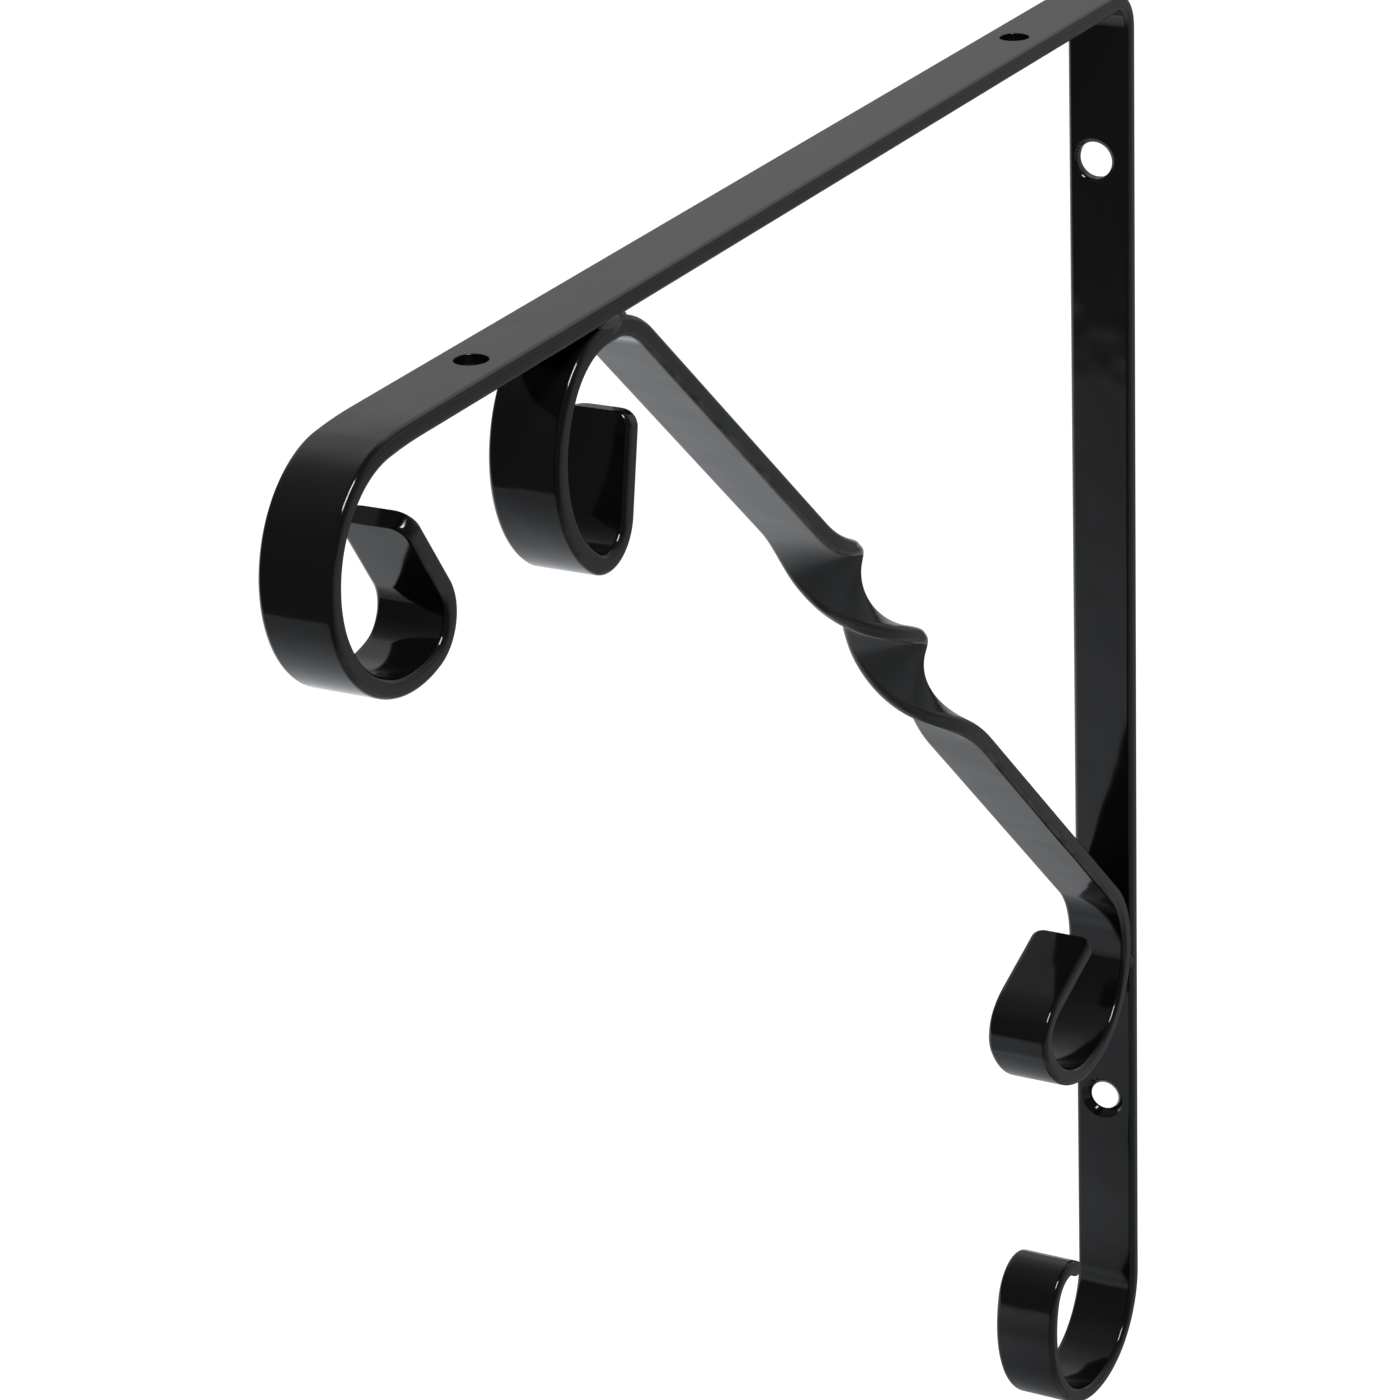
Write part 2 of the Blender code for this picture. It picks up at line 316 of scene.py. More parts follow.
def walk(y, z, heading, runs, step=ARC_STEP):
    """Stations along straight runs and arcs in the YZ plane; heading 0 points to +Y and 90 to +Z."""
    angle = radians(heading)
    stations = [Station(y, z, angle)]
    for length, turn in runs:
        steps = max(1, ceil(abs(turn) / step))
        half = radians(turn) / steps / 2
        chord = length / steps * (sin(half) / half if half else 1.0)
        for _ in range(steps):
            y += chord * cos(angle + half)
            z += chord * sin(angle + half)
            angle += 2 * half
            stations.append(Station(y, z, angle))
    return stations


def backwards(stations):
    """The same stations walked the other way."""
    return [station._replace(heading=station.heading + pi) for station in reversed(stations)]


def rounded_tip(stations, radius):
    """The last station becomes a cut end whose two corners are rounded in the plane of the strip."""
    tip = stations[-1]
    rounded = []
    for turn in range(0, 91, TIP_STEP):
        back = radius * (1 - sin(radians(turn)))
        inset = radius * (1 - cos(radians(turn)))
        rounded.append(tip._replace(y=tip.y - back * cos(tip.heading), z=tip.z - back * sin(tip.heading),
                                    width=STRIP_WIDTH - 2 * inset))
    return stations[:-1] + rounded


def rounded_rectangle(width, thickness, radius):
    """Outline of the bar's section, with its four edges rounded."""
    points = []
    for quarter, (side_x, side_y) in enumerate(((1, 1), (-1, 1), (-1, -1), (1, -1))):
        for k in range(EDGE_SEGMENTS + 1):
            angle = pi / 2 * (quarter + k / EDGE_SEGMENTS)
            points.append((side_x * (width / 2 - radius) + radius * cos(angle),
                           side_y * (thickness / 2 - radius) + radius * sin(angle)))
    return points


def edge_shares():
    """For each point of that outline, 1 at the middle of a rounded edge and 0 where a flat face begins."""
    return [sin(pi * k / EDGE_SEGMENTS) for k in range(EDGE_SEGMENTS + 1)] * 4


def station_matrix(station):
    """Local X across the strip and local Y through it, turned by the twist about the strip's direction."""
    across = Vector((1, 0, 0))
    through = Vector((0, -sin(station.heading), cos(station.heading)))
    x_axis = across * cos(station.twist) + through * sin(station.twist)
    y_axis = through * cos(station.twist) - across * sin(station.twist)
    matrix = Matrix((x_axis, y_axis, x_axis.cross(y_axis))).transposed().to_4x4()
    matrix.translation = (0, station.y, station.z)
    return matrix


def extrude_through(outlines, shares):
    """A closed mesh that runs through equal outlines, with each point's share of edge kept on the mesh."""
    bm = bmesh.new()
    edge = bm.verts.layers.float.new("edge")
    face = bm.faces.new([bm.verts.new(point) for point in outlines[0]])
    for count, outline in enumerate(outlines):
        if count:
            made = bmesh.ops.extrude_face_region(bm, geom=[face])["geom"]
            if count > 1:
                bm.faces.remove(face)
            face = next(item for item in made if isinstance(item, bmesh.types.BMFace))
        for vert, point, share in zip(face.verts, outline, shares):
            vert.co = point
            vert[edge] = share
    bmesh.ops.recalc_face_normals(bm, faces=bm.faces)
    return bm


def new_piece(name, bm, material, node):
    """A finished piece that stands for a CAD node."""
    mesh = bpy.data.meshes.new(name)
    bm.to_mesh(mesh)
    bm.free()
    mesh.shade_smooth()
    mesh.materials.append(material)
    piece = bpy.data.objects.new(name, mesh)
    bpy.context.scene.collection.objects.link(piece)
    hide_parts(node)
    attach(piece, "root")
    return piece


def apply_modifiers(piece):
    """The piece keeps its modified shape as a plain mesh."""
    bpy.context.view_layer.objects.active = piece
    for modifier in list(piece.modifiers):
        bpy.ops.object.modifier_apply(modifier=modifier.name)


def steady_normals(piece):
    """Flat faces shade flat right up to their rounded edges."""
    piece.data.set_sharp_from_angle(angle=radians(SHARP_ANGLE))
    weighted = piece.modifiers.new("flat faces", "WEIGHTED_NORMAL")
    weighted.mode = "FACE_AREA"
    weighted.weight = 100
    weighted.keep_sharp = True


def strip_mesh(stations, thickness, edge_radius):
    """The flat bar swept along its stations."""
    outlines = []
    for station in stations:
        matrix = station_matrix(station)
        radius = edge_radius * station.rounding
        section = rounded_rectangle(station.width, thickness, radius)
        outlines.append([matrix @ Vector((x, y, 0)) for x, y in section])
    return extrude_through(outlines, edge_shares())


def hole_cutter(centre, axis, diameter, thickness, rim, roundness=1.0):
    """A round plug whose ends flare out, so that the hole it cuts has rounded or chamfered rims.

    The roundness goes from 0 for a straight chamfer to 1 for a quarter circle.
    """
    bm = bmesh.new()
    face_level = thickness / 2
    flare = []
    for k in range(RIM_SEGMENTS + 1):
        share = k / RIM_SEGMENTS
        angle = pi / 2 * share * RIM_SWEEP
        out = roundness * (1 - cos(angle)) + (1 - roundness) * share
        up = roundness * sin(angle) + (1 - roundness) * share
        flare.append((diameter / 2 + rim * out, face_level - rim * (1 - up)))
    flare.append((flare[-1][0], face_level + CUTTER_REACH))
    side = [(r, -z) for r, z in reversed(flare)] + flare
    points = [(0.0, side[0][1])] + side + [(0.0, side[-1][1])]
    verts = [bm.verts.new((r, 0.0, z)) for r, z in points]
    edges = [bm.edges.new(pair) for pair in zip(verts, verts[1:])]
    bmesh.ops.spin(bm, geom=verts + edges, axis=(0, 0, 1), cent=(0, 0, 0), steps=HOLE_SIDES,
                   angle=2 * pi, use_merge=True)
    bmesh.ops.remove_doubles(bm, verts=bm.verts, dist=MERGE_DISTANCE)
    bmesh.ops.recalc_face_normals(bm, faces=bm.faces)
    turn = Vector((0, 0, 1)).rotation_difference(axis).to_matrix().to_4x4()
    bmesh.ops.transform(bm, matrix=Matrix.Translation(centre) @ turn, verts=bm.verts)
    mesh = bpy.data.meshes.new("hole cutter")
    bm.to_mesh(mesh)
    bm.free()
    cutter = bpy.data.objects.new("hole_cutter", mesh)
    bpy.context.scene.collection.objects.link(cutter)
    return cutter


def drill(piece, cutters):
    """Cuts the holes and removes the plugs that cut them."""
    for cutter in cutters:
        cut = piece.modifiers.new("hole", "BOOLEAN")
        cut.operation = "DIFFERENCE"
        cut.solver = "EXACT"
        cut.object = cutter
    apply_modifiers(piece)
    for cutter in cutters:
        bpy.data.objects.remove(cutter)


def eased_turn(share):
    """Part of the full turn reached at a share of the twist's length: speeding up, steady, slowing down."""
    steady = 1 / (1 - TWIST_EASE_IN / 2 - TWIST_EASE_OUT / 2)
    if share < TWIST_EASE_IN:
        return steady * share ** 2 / (2 * TWIST_EASE_IN)
    if share > 1 - TWIST_EASE_OUT:
        return 1 - steady * (1 - share) ** 2 / (2 * TWIST_EASE_OUT)
    return steady * (share - TWIST_EASE_IN / 2)


def twisted_stations(start, end):
    """Stations of the twist, on a smooth curve from one straight half of the brace to the other."""
    first = Vector((start.y, start.z))
    last = Vector((end.y, end.z))
    length = (last - first).length
    leave = Vector((cos(start.heading), sin(start.heading))) * length
    arrive = Vector((cos(end.heading), sin(end.heading))) * length
    side = Vector((first.y - last.y, last.x - first.x)).normalized()
    points = []
    for k in range(TWIST_STEPS + 1):
        u = k / TWIST_STEPS
        aside = TWIST_BOW * sin(pi * u) ** 2 + TWIST_SWAY * sin(2 * pi * u) * sin(pi * u)
        points.append(first * (2 * u ** 3 - 3 * u ** 2 + 1) + leave * (u ** 3 - 2 * u ** 2 + u)
                      + last * (3 * u ** 2 - 2 * u ** 3) + arrive * (u ** 3 - u ** 2) + side * aside)
    stations = []
    for k in range(1, TWIST_STEPS):
        ahead = points[k + 1] - points[k - 1]
        turn = radians(TWIST_TURN) * eased_turn(k / TWIST_STEPS)
        middle = sin(pi * k / TWIST_STEPS)
        width = STRIP_WIDTH + TWIST_WIDENING * middle
        rounding = 1 + TWIST_ROUNDING * middle
        stations.append(Station(points[k].x, points[k].y, atan2(ahead.y, ahead.x), width, turn, rounding))
    return stations


def lump(bm, middle, sizes, tilt=0.0):
    """A rounded lump of weld metal, tilted about X."""
    around, along = LUMP_SEGMENTS
    matrix = Matrix.Translation(middle) @ Matrix.Rotation(radians(tilt), 4, "X")
    matrix = matrix @ Matrix.Diagonal((*sizes, 1.0))
    bmesh.ops.create_uvsphere(bm, u_segments=around, v_segments=along, radius=1.0, matrix=matrix)


def weld_row(bm, place, sizes):
    """Overlapping lumps side by side across the strips, each a little different from the next."""
    reach = STRIP_WIDTH / 2 - ROW_INSET
    y, z = place
    for k in range(ROW_LUMPS):
        x = reach * (2 * k / (ROW_LUMPS - 1) - 1)
        sway = sin(ROW_SWAY_PACE * k)
        drift = cos(ROW_DRIFT_PACE * k)
        grown = [size * (1 + ROW_GROWTH * sway) for size in sizes]
        middle = (x + ROW_SHIFT_ACROSS * sway, y + ROW_SHIFT * drift, z + ROW_SHIFT * sway)
        lump(bm, middle, grown)


def weld_piece(name, bm, grain, material, node):
    """The lumps joined into one smooth closed piece of weld metal."""
    piece = new_piece(name, bm, material, node)
    join = piece.modifiers.new("join", "REMESH")
    join.mode = "VOXEL"
    join.voxel_size = grain
    join.use_smooth_shade = True
    soften = piece.modifiers.new("soften", "SMOOTH")
    soften.factor = 0.5
    soften.iterations = WELD_SMOOTHING
    apply_modifiers(piece)


def add(tree, kind, inputs, **settings):
    """A node with its settings and inputs; an input is a value or another node's output."""
    node = tree.nodes.new(kind)
    for name, value in settings.items():
        setattr(node, name, value)
    for socket, value in inputs.items():
        if isinstance(value, bpy.types.NodeSocket):
            tree.links.new(value, node.inputs[socket])
        else:
            node.inputs[socket].default_value = value
    return node


def maths(tree, operation, *values):
    """Output of a Math node that works on the values."""
    return add(tree, "ShaderNodeMath", dict(enumerate(values)), operation=operation).outputs[0]


def product(tree, first, *others):
    """All the values multiplied together."""
    for other in others:
        first = maths(tree, "MULTIPLY", first, other)
    return first


def upward_part(tree):
    """How much the surface looks up: 1 for straight up, 0 for sideways and -1 for straight down."""
    normal = tree.nodes.new("ShaderNodeNewGeometry").outputs["Normal"]
    return add(tree, "ShaderNodeSeparateXYZ", {0: normal}).outputs[2]


def fade(tree, value, start, end):
    """0 at the start value and 1 at the end value, with a soft passage between."""
    inputs = {"Value": value, "From Min": start, "From Max": end}
    return add(tree, "ShaderNodeMapRange", inputs, interpolation_type="SMOOTHSTEP").outputs[0]


def noise(tree, vector, scale, detail=2.0, roughness=0.5):
    """Smooth random values from 0 to 1, with the scale as lumps for each metre."""
    inputs = {"Vector": vector, "Scale": scale, "Detail": detail, "Roughness": roughness}
    return add(tree, "ShaderNodeTexNoise", inputs).outputs[0]


def new_group(name, inputs, output):
    """An empty node group with named number or vector inputs and one number output."""
    tree = bpy.data.node_groups.new(name, "ShaderNodeTree")
    for label, default in inputs.items():
        kind = "NodeSocketVector" if isinstance(default, tuple) else "NodeSocketFloat"
        tree.interface.new_socket(label, in_out="INPUT", socket_type=kind).default_value = default
    tree.interface.new_socket(output, in_out="OUTPUT", socket_type="NodeSocketFloat")
    return tree, tree.nodes.new("NodeGroupInput").outputs, tree.nodes.new("NodeGroupOutput").inputs[0]


def paint_skin_group():
    """Height of the dried paint in metres: slow waves, fine orange peel and a few specks caught in it."""
    tree, inputs, output = new_group("paint skin", {
        "Place": (0.0, 0.0, 0.0), "Waves per metre": WAVES_PER_METRE, "Wave depth": 0.00008,
        "Peel per metre": 1500.0, "Peel depth": 0.0000012, "Nibs per metre": 60.0,
        "Nib height": 0.00005}, "Height")
    place = inputs["Place"]
    slow = noise(tree, place, inputs["Waves per metre"], detail=1.0, roughness=0.4)
    waves = product(tree, slow, inputs["Wave depth"])
    peel = product(tree, noise(tree, place, inputs["Peel per metre"]), inputs["Peel depth"])
    cells = add(tree, "ShaderNodeTexVoronoi", {"Vector": place, "Scale": inputs["Nibs per metre"]})
    chosen = add(tree, "ShaderNodeSeparateColor", {0: cells.outputs["Color"]}).outputs[0]
    size = maths(tree, "ADD", product(tree, fade(tree, chosen, *NIB_CELLS), NIB_ADDED), NIB_LEAST)
    slope = maths(tree, "DIVIDE", cells.outputs["Distance"], size)
    bump = maths(tree, "SUBTRACT", 1.0, slope)
    nibs = product(tree, fade(tree, bump, 0.0, 1.0), inputs["Nib height"])
    total = maths(tree, "ADD", maths(tree, "ADD", waves, peel), nibs)
    tree.links.new(total, output)
    return tree


def settled_dust_group():
    """Mask of the dust: it lies in soft patches, mostly on the faces that look up."""
    tree, inputs, output = new_group("settled dust", {
        "Place": (0.0, 0.0, 0.0), "Patches per metre": 45.0, "Amount": 0.5, "On all faces": 0.15}, "Mask")
    upward = fade(tree, upward_part(tree), *DUST_FACING)
    lying = maths(tree, "MAXIMUM", upward, inputs["On all faces"])
    cloud = noise(tree, inputs["Place"], inputs["Patches per metre"], detail=4.0, roughness=0.6)
    patches = fade(tree, cloud, *DUST_PATCHES)
    grains = fade(tree, noise(tree, inputs["Place"], DUST_GRAINS_PER_METRE, detail=1.0), *DUST_GRAINS)
    grainy = maths(tree, "ADD", DUST_BETWEEN, product(tree, grains, 1 - DUST_BETWEEN))
    tree.links.new(product(tree, patches, grainy, lying, inputs["Amount"]), output)
    return tree


def edge_wear_and_highlight_group():
    """Mask of rubbed paint in stretches along the edges that look down, lightened there as a painted
    highlight.
    """
    tree, inputs, output = new_group("edge_wear_and_highlight", {
        "Place": (0.0, 0.0, 0.0), "Edge": 0.0, "Stretches per metre": 160.0, "Amount": 0.5}, "Mask")
    cloud = noise(tree, inputs["Place"], inputs["Stretches per metre"], detail=3.0, roughness=0.6)
    broken = fade(tree, cloud, *WEAR_AND_HIGHLIGHT_STRETCHES)
    below = fade(tree, upward_part(tree), *WEAR_AND_HIGHLIGHT_FACING)
    along = product(tree, fade(tree, inputs["Edge"], *WEAR_AND_HIGHLIGHT_EDGE), below)
    tree.links.new(product(tree, broken, along, inputs["Amount"]), output)
    return tree


def effect(name, maker):
    """The node group of that name, built the first time it is asked for."""
    return bpy.data.node_groups.get(name) or maker()


def mix_colour(tree, factor, first, second):
    """Colour that passes from the first to the second as the factor goes from 0 to 1."""
    node = add(tree, "ShaderNodeMix", {"Factor": factor}, data_type="RGBA")
    for socket, colour in (("A_Color", first), ("B_Color", second)):
        target = next(item for item in node.inputs if item.identifier == socket)
        if isinstance(colour, bpy.types.NodeSocket):
            tree.links.new(colour, target)
        else:
            target.default_value = (*colour, 1.0)
    return next(item for item in node.outputs if item.identifier == "Result_Color")


def paint_material(name, paint, waves=WAVES_PER_METRE, wave_gain=1.0, dust=0.5, wear_and_highlight_amount=0.9,
                   roughness_gain=1.0, painted_highlight_gain=1.0, dull_part=()):
    """Gloss black paint with its own waves, dust, rubbed edges, lift and gloss for each part; edges and lift
    paint a highlight.

    The dull part is a stretch along Y: its two ends, the length of the passage and the added roughness.
    """
    material = bpy.data.materials.new(name)
    material.use_nodes = True
    tree = material.node_tree
    shader = tree.nodes["Principled BSDF"]
    place = tree.nodes.new("ShaderNodeTexCoord").outputs["Object"]
    edge = add(tree, "ShaderNodeAttribute", {}, attribute_name="edge").outputs["Fac"]
    skin = add(tree, "ShaderNodeGroup", {}, node_tree=effect("paint skin", paint_skin_group))
    for socket, value in (("Waves per metre", waves), ("Wave depth", paint.wave_depth * wave_gain),
                          ("Peel depth", paint.peel_depth), ("Nib height", paint.nib_height)):
        skin.inputs[socket].default_value = value
    tree.links.new(place, skin.inputs["Place"])
    dusty = add(tree, "ShaderNodeGroup", {}, node_tree=effect("settled dust", settled_dust_group))
    dusty.inputs["Amount"].default_value = dust
    tree.links.new(place, dusty.inputs["Place"])
    # Rubbed paint, and a painted highlight, along the edges that look down
    wear_and_highlight_node = add(tree, "ShaderNodeGroup", {}, node_tree=effect("edge_wear_and_highlight", edge_wear_and_highlight_group))
    wear_and_highlight_node.inputs["Amount"].default_value = wear_and_highlight_amount
    tree.links.new(place, wear_and_highlight_node.inputs["Place"])
    tree.links.new(edge, wear_and_highlight_node.inputs["Edge"])
    # A gain above one lifts the black as a painted highlight
    black = tuple(painted_highlight_gain * value for value in paint.black)
    thin_paint_and_highlight = mix_colour(tree, wear_and_highlight_node.outputs["Mask"], black, paint.thin_paint_and_highlight)
    veil = product(tree, dusty.outputs["Mask"], DUST_VEIL)
    tree.links.new(mix_colour(tree, veil, thin_paint_and_highlight, paint.dust), shader.inputs["Base Color"])
    clean = paint.roughness * roughness_gain
    dulled = maths(tree, "MULTIPLY_ADD", dusty.outputs["Mask"], DUST_ROUGHNESS, clean)
    rubbed = maths(tree, "MULTIPLY_ADD", wear_and_highlight_node.outputs["Mask"], WEAR_ROUGHNESS, dulled)
    if dull_part:
        front, back, passage, extra = dull_part
        along = add(tree, "ShaderNodeSeparateXYZ", {0: place}).outputs[1]
        within = product(tree, fade(tree, along, front, front + passage),
                         fade(tree, along, back, back - passage))
        rubbed = maths(tree, "MULTIPLY_ADD", within, extra, rubbed)
    tree.links.new(rubbed, shader.inputs["Roughness"])
    bump = add(tree, "ShaderNodeBump", {"Strength": 1.0, "Distance": 1.0, "Height": skin.outputs["Height"]})
    tree.links.new(bump.outputs["Normal"], shader.inputs["Normal"])
    shader.inputs["IOR"].default_value = PAINT_IOR
    return material


class BRACKET_OT_bent_strip(bpy.types.Operator):
    """Make the bent strip: front scroll, shelf arm, corner, wall leg, foot scroll and screw holes"""
    bl_idname = "bracket.bent_strip"
    bl_label = "Bent strip"

    def execute(self, context):
        sizes = context.scene.bracket_sizes
        thickness = sizes.frame_thickness
        arm_middle = ARM_TOP - thickness / 2
        bend_radius = sizes.corner_inside_radius + thickness / 2
        arm_length = LEG_BACK - thickness / 2 - bend_radius - ARM_FRONT
        leg_length = arm_middle - bend_radius - LEG_FOOT
        front = walk(ARM_FRONT, arm_middle, 180, arcs(FRONT_SCROLL, 1) + [straight(FRONT_TAIL)])
        rest = walk(ARM_FRONT, arm_middle, 0,
                    [straight(arm_length)] + arcs(((bend_radius, 90.0),), -1) + [straight(leg_length)]
                    + arcs(FOOT_SCROLL, -1) + [straight(FOOT_TAIL)])
        scroll = rounded_tip(front, sizes.tip_corner_radius)
        stations = backwards(scroll)[:-1] + rounded_tip(rest, sizes.lower_tip_radius)
        piece = new_piece("bent_strip", strip_mesh(stations, thickness, sizes.edge_radius),
                          paint_material("bent strip paint", context.scene.bracket_paint),
                          "wall_and_shelf_strip")
        cutters = []
        upwards = Vector((0, 0, 1))
        to_wall = Vector((0, 1, 0))
        for y in ARM_HOLES_Y:
            centre = Vector((0, y, arm_middle))
            cutters.append(hole_cutter(centre, upwards, sizes.arm_hole, thickness, sizes.rim_radius))
        for x, z, diameter, rim, roundness in LEG_HOLES:
            centre = Vector((x, LEG_BACK - thickness / 2, z))
            cutters.append(hole_cutter(centre, to_wall, diameter, thickness, rim, roundness))
        drill(piece, cutters)
        steady_normals(piece)
        apply_modifiers(piece)
        return {"FINISHED"}


class BRACKET_OT_brace(bpy.types.Operator):
    """Make the brace: top scroll, straight halves, twist and foot scroll"""
    bl_idname = "bracket.brace"
    bl_label = "Brace"

    def execute(self, context):
        sizes = context.scene.bracket_sizes
        thickness = sizes.brace_thickness
        upper_touch = (UPPER_TOUCH_Y, ARM_TOP - sizes.frame_thickness - thickness / 2)
        lower_touch = (LEG_BACK - sizes.frame_thickness - thickness / 2, LOWER_TOUCH_Z)
        scroll = walk(*upper_touch, 180, arcs(UPPER_SCROLL, 1) + [straight(UPPER_TAIL)])
        upper = walk(*upper_touch, 0,
                     [straight(UPPER_FLAT)] + arcs(UPPER_BEND, -1) + [straight(UPPER_RUN)])
        lower = backwards(walk(*lower_touch, 90, arcs(LOWER_BEND, 1) + [straight(LOWER_RUN)]))
        foot = walk(*lower_touch, -90, arcs(LOWER_SCROLL, -1) + [straight(LOWER_TAIL)])
        twist = twisted_stations(upper[-1], lower[0])
        full = radians(TWIST_TURN)
        end = rounded_tip(foot, sizes.lower_tip_radius)
        turned = [station._replace(twist=full) for station in lower[:-1] + end]
        start = backwards(rounded_tip(scroll, sizes.tip_corner_radius))
        stations = start[:-1] + upper + twist + turned
        material = paint_material("brace paint", context.scene.bracket_paint, dull_part=TWIST_DULLED)
        piece = new_piece("brace", strip_mesh(stations, thickness, sizes.edge_radius), material,
                          "scrolled_brace")
        steady_normals(piece)
        apply_modifiers(piece)
        return {"FINISHED"}


class BRACKET_OT_welds(bpy.types.Operator):
    """Make the weld metal of the two joints between the brace and the bent strip"""
    bl_idname = "bracket.welds"
    bl_label = "Welds"

    def execute(self, context):
        grain = context.scene.bracket_sizes.weld_grain
        # The weld's black is lifted thirteen times lighter as a painted highlight on its ridges, and its
        # heavy dust lightens it further
        material = paint_material("weld paint", context.scene.bracket_paint, waves=400.0, wave_gain=0.1,
                                  dust=2.5, wear_and_highlight_amount=0.0, roughness_gain=2.2, painted_highlight_gain=13.0)
        upper = bmesh.new()
        weld_row(upper, *UPPER_ROW)
        for (x, y, z), half, tilt in UPPER_RUNS:
            lump(upper, (x, y, z), half, tilt)
            lump(upper, (-x, y + FAR_SIDE_SHIFT, z), half, tilt * FAR_SIDE_TILT)
        weld_piece("upper_weld_metal", upper, grain, material, "upper_weld")
        lower = bmesh.new()
        weld_row(lower, *LOWER_ROW)
        weld_piece("lower_weld_metal", lower, grain, material, "lower_weld")
        return {"FINISHED"}


class BRACKET_OT_stage(bpy.types.Operator):
    """Make the floor, the studio light and the camera"""
    bl_idname = "bracket.stage"
    bl_label = "Stage"

    def execute(self, context):
        scene = context.scene
        stage = scene.bracket_stage
        bm = bmesh.new()
        bmesh.ops.create_grid(bm, x_segments=1, y_segments=1, size=stage.floor_side / 2)
        place = (0, stage.floor_side / 2 - stage.floor_front, CAD_BOX[0][2] - stage.floor_drop)
        bmesh.ops.translate(bm, vec=place, verts=bm.verts)
        mesh = bpy.data.meshes.new("floor")
        bm.to_mesh(mesh)
        bm.free()
        mesh.materials.append(pale_floor_material(stage))
        floor = bpy.data.objects.new("floor", mesh)
        scene.collection.objects.link(floor)
        scene.world = studio_world(stage)
        scene.view_settings.view_transform = "Standard"
        add_oblong_light(scene, stage)
        add_camera(scene)
        return {"FINISHED"}


def white_to_camera(tree, other, output):
    """The camera sees plain white there, and the bracket reflects the other shader."""
    seen = tree.nodes.new("ShaderNodeLightPath").outputs["Is Camera Ray"]
    kind = other.node.bl_idname
    white = add(tree, kind, {"Color": SEEN_WHITE, "Strength": SEEN_STRENGTH}).outputs[0]
    mixed = add(tree, "ShaderNodeMixShader", {0: seen, 1: other, 2: white}).outputs[0]
    tree.links.new(mixed, output)


def tinted(tree, value, tint):
    """The tint as bright as the value says."""
    return add(tree, "ShaderNodeVectorMath", {0: tint, "Scale": value}, operation="SCALE").outputs[0]


def pale_floor_material(stage):
    """Pale floor that glows with painted light: a painted shadow under the bracket, painted brightening to
    both sides, and a painted brighter patch.
    """
    material = bpy.data.materials.new("pale floor")
    material.use_nodes = True
    tree = material.node_tree
    tree.nodes.clear()
    place = tree.nodes.new("ShaderNodeTexCoord").outputs["Object"]
    x, y, _ = add(tree, "ShaderNodeSeparateXYZ", {0: place}).outputs
    aside = maths(tree, "MINIMUM", maths(tree, "ABSOLUTE", x), FLOOR_SIDE_LIMIT)
    left = maths(tree, "LESS_THAN", x, 0.0)
    gain = maths(tree, "MULTIPLY_ADD", left, FLOOR_LEFT_EXTRA, FLOOR_RIGHT)
    grown = maths(tree, "POWER", aside, FLOOR_GROWTH)
    bright = maths(tree, "MULTIPLY_ADD", grown, gain, FLOOR_UNDER)
    for start, full, share in (FLOOR_FRONT, FLOOR_BACK):
        dimming = product(tree, fade(tree, y, start, full), share)
        bright = product(tree, bright, maths(tree, "SUBTRACT", 1.0, dimming))
    patch = product(tree, fade(tree, y, *PATCH_FRONT), fade(tree, y, *PATCH_BACK),
                    fade(tree, aside, *PATCH_SIDE))
    bright = product(tree, bright, maths(tree, "MULTIPLY_ADD", patch, PATCH_GAIN, 1.0))
    glow = add(tree, "ShaderNodeEmission", {"Color": tinted(tree, bright, tuple(stage.floor_tint))})
    output = tree.nodes.new("ShaderNodeOutputMaterial").inputs["Surface"]
    white_to_camera(tree, glow.outputs[0], output)
    return material


def towards(azimuth, height):
    """Direction at an azimuth from +Y towards +X and a height, in degrees."""
    azimuth, height = radians(azimuth), radians(height)
    return Vector((sin(azimuth) * cos(height), cos(azimuth) * cos(height), sin(height)))


def soft_light_group():
    """Brightness of one round soft light, strongest at its centre and fading evenly outwards."""
    tree, inputs, output = new_group("soft light", {
        "Looking": (0.0, 0.0, 0.0), "Centre": (0.0, 0.0, 1.0), "Closeness": 10.0,
        "Brightness": 1.0}, "Light")
    facing = add(tree, "ShaderNodeVectorMath", {0: inputs["Looking"], 1: inputs["Centre"]},
                 operation="DOT_PRODUCT").outputs["Value"]
    fall = product(tree, maths(tree, "SUBTRACT", facing, 1.0), inputs["Closeness"])
    tree.links.new(product(tree, maths(tree, "EXPONENT", fall), inputs["Brightness"]), output)
    return tree


def studio_world(stage):
    """A dim room with soft lights, which the camera sees as a plain white backdrop."""
    world = bpy.data.worlds.new("studio")
    world.use_nodes = True
    tree = world.node_tree
    tree.nodes.clear()
    looking = tree.nodes.new("ShaderNodeTexCoord").outputs["Generated"]
    total = tinted(tree, stage.room, (1.0, 1.0, 1.0))
    for azimuth, height, closeness, brightness, tint in SOFT_LIGHTS:
        light = add(tree, "ShaderNodeGroup", {}, node_tree=effect("soft light", soft_light_group))
        tree.links.new(looking, light.inputs["Looking"])
        light.inputs["Centre"].default_value = towards(azimuth, height)
        light.inputs["Closeness"].default_value = closeness
        light.inputs["Brightness"].default_value = brightness
        share = tinted(tree, light.outputs["Light"], tint)
        total = add(tree, "ShaderNodeVectorMath", {0: total, 1: share}, operation="ADD").outputs[0]
    glow = add(tree, "ShaderNodeBackground", {"Color": total})
    output = tree.nodes.new("ShaderNodeOutputWorld").inputs["Surface"]
    white_to_camera(tree, glow.outputs[0], output)
    return world


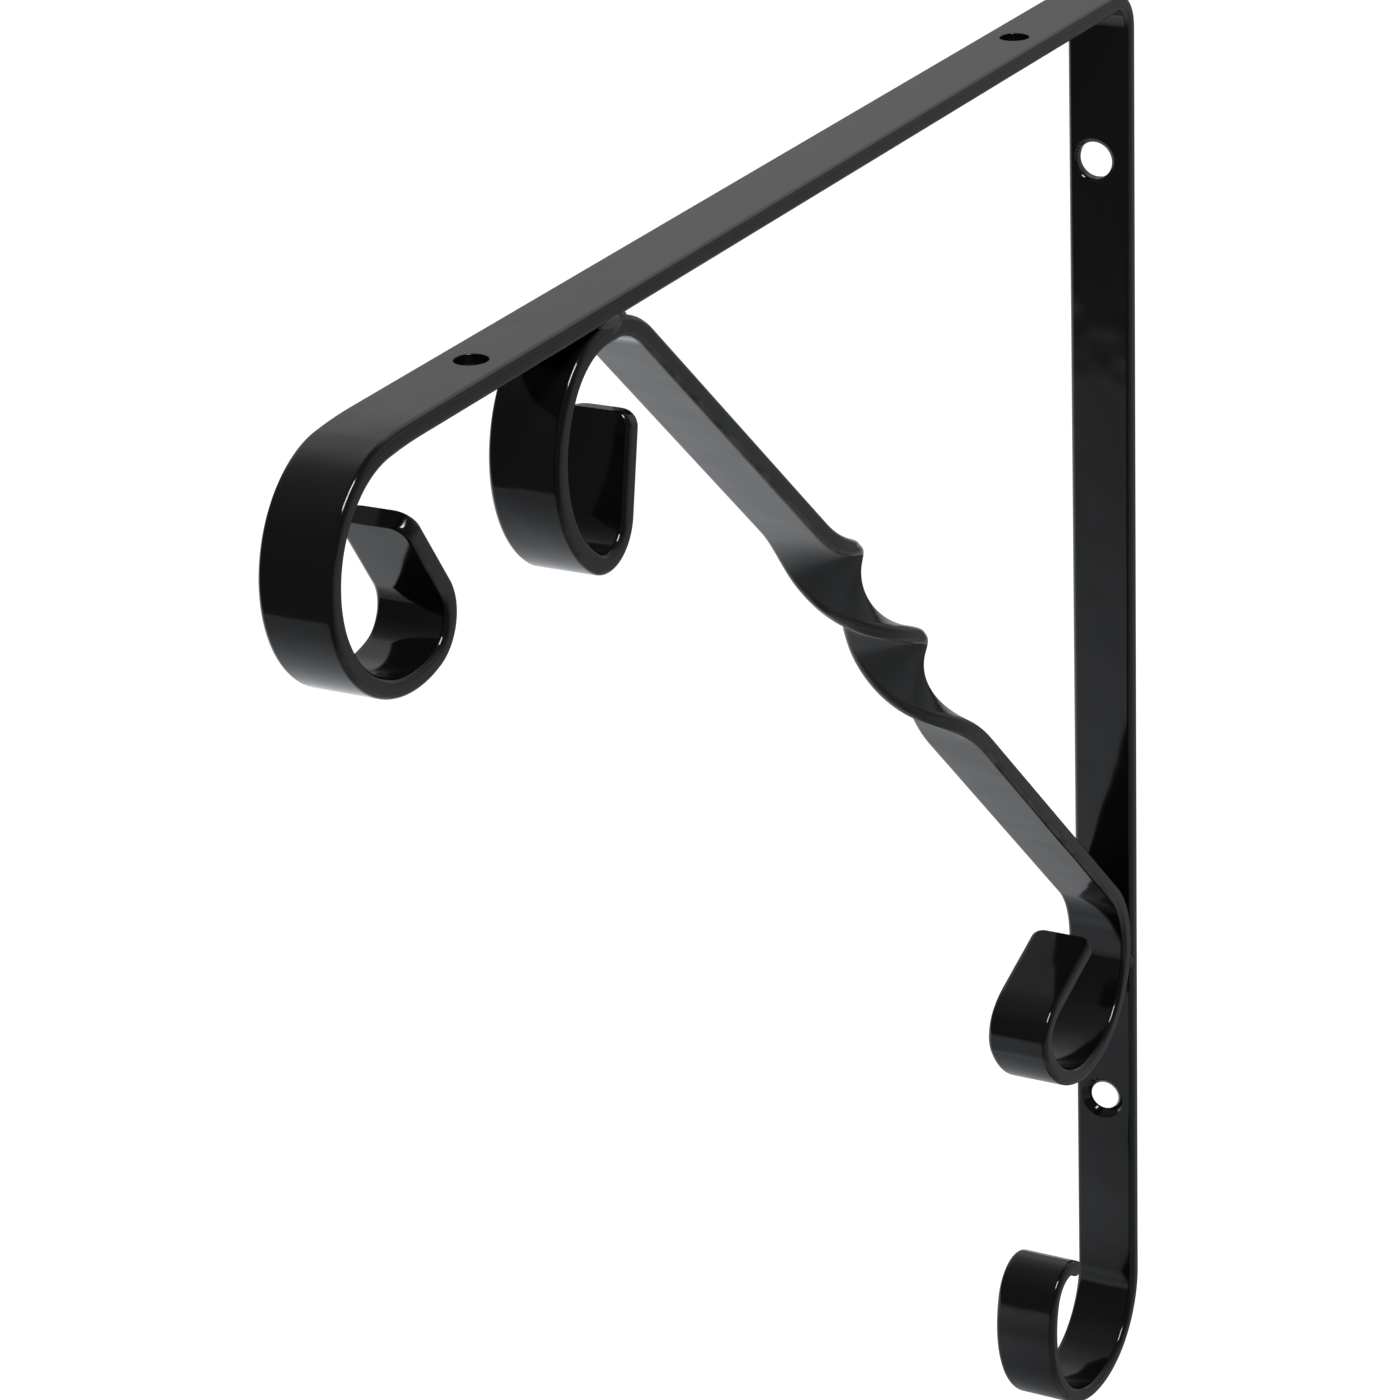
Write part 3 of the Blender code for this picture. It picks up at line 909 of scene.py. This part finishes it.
def add_oblong_light(scene, stage):
    """An oblong light overhead, which draws the short bright streaks along the rounded edges."""
    azimuth, height, distance, length, width = OBLONG_LIGHT
    data = bpy.data.lights.new("oblong light", "AREA")
    data.shape = "RECTANGLE"
    data.size = length
    data.size_y = width
    data.energy = stage.oblong_strength * pi * length * width
    lamp = bpy.data.objects.new("oblong light", data)
    scene.collection.objects.link(lamp)
    out = towards(azimuth, height)
    along = out.cross(Vector((1, 0, 0))).normalized()
    middle = (CAD_BOX[0] + CAD_BOX[1]) / 2
    turned = Matrix((along, out.cross(along), out)).transposed().to_4x4()
    lamp.matrix_world = Matrix.Translation(middle + out * distance) @ turned
    lamp.visible_camera = False


def add_camera(scene):
    """The camera of the photograph, from its place, three angles, focal length and image centre."""
    data = bpy.data.cameras.new("photograph view")
    data.sensor_width = SENSOR
    data.lens = FOCAL_PIXELS / IMAGE_SIDE * SENSOR
    data.shift_x = (IMAGE_SIDE / 2 - CENTRE_PIXEL[0]) / IMAGE_SIDE
    data.shift_y = (CENTRE_PIXEL[1] - IMAGE_SIDE / 2) / IMAGE_SIDE
    camera = bpy.data.objects.new("camera", data)
    scene.collection.objects.link(camera)
    azimuth = radians(CAMERA_AZIMUTH)
    elevation = radians(CAMERA_ELEVATION)
    roll = radians(CAMERA_ROLL)
    ahead = Vector((-sin(azimuth) * cos(elevation), cos(azimuth) * cos(elevation), -sin(elevation)))
    level = Vector((cos(azimuth), sin(azimuth), 0))
    down = ahead.cross(level)
    right = level * cos(roll) - down * sin(roll)
    drop = level * sin(roll) + down * cos(roll)
    turned = Matrix((right, -drop, -ahead)).transposed().to_4x4()
    camera.matrix_world = Matrix.Translation(CAMERA_PLACE) @ turned
    scene.camera = camera


class BRACKET_PT_panel(bpy.types.Panel):
    """Sizes, paint and the steps that make the bracket"""
    bl_idname = "BRACKET_PT_panel"
    bl_label = "Shelf Bracket"
    bl_space_type = "VIEW_3D"
    bl_region_type = "UI"
    bl_category = "Bracket"

    def draw(self, context):
        layout = self.layout
        for group_name in GROUPS:
            group = getattr(context.scene, group_name)
            box = layout.box()
            for name in group.__annotations__:
                box.prop(group, name)
        for step in STEPS:
            layout.operator(step.bl_idname)


GROUPS = {
    "bracket_sizes": BracketSizes,
    "bracket_paint": BracketPaint,
    "bracket_stage": BracketStage,
}
STEPS = (BRACKET_OT_bent_strip, BRACKET_OT_brace, BRACKET_OT_welds, BRACKET_OT_stage)


def register():
    for item in (*GROUPS.values(), *STEPS, BRACKET_PT_panel):
        bpy.utils.register_class(item)
    for name, group in GROUPS.items():
        setattr(bpy.types.Scene, name, PointerProperty(type=group))


def unregister():
    for name in GROUPS:
        delattr(bpy.types.Scene, name)
    for item in (BRACKET_PT_panel, *reversed(STEPS), *reversed(GROUPS.values())):
        bpy.utils.unregister_class(item)


def main():
    register()
    bpy.ops.bracket.bent_strip()
    bpy.ops.bracket.brace()
    bpy.ops.bracket.welds()
    bpy.ops.bracket.stage()


if __name__ == "__main__":
    main()
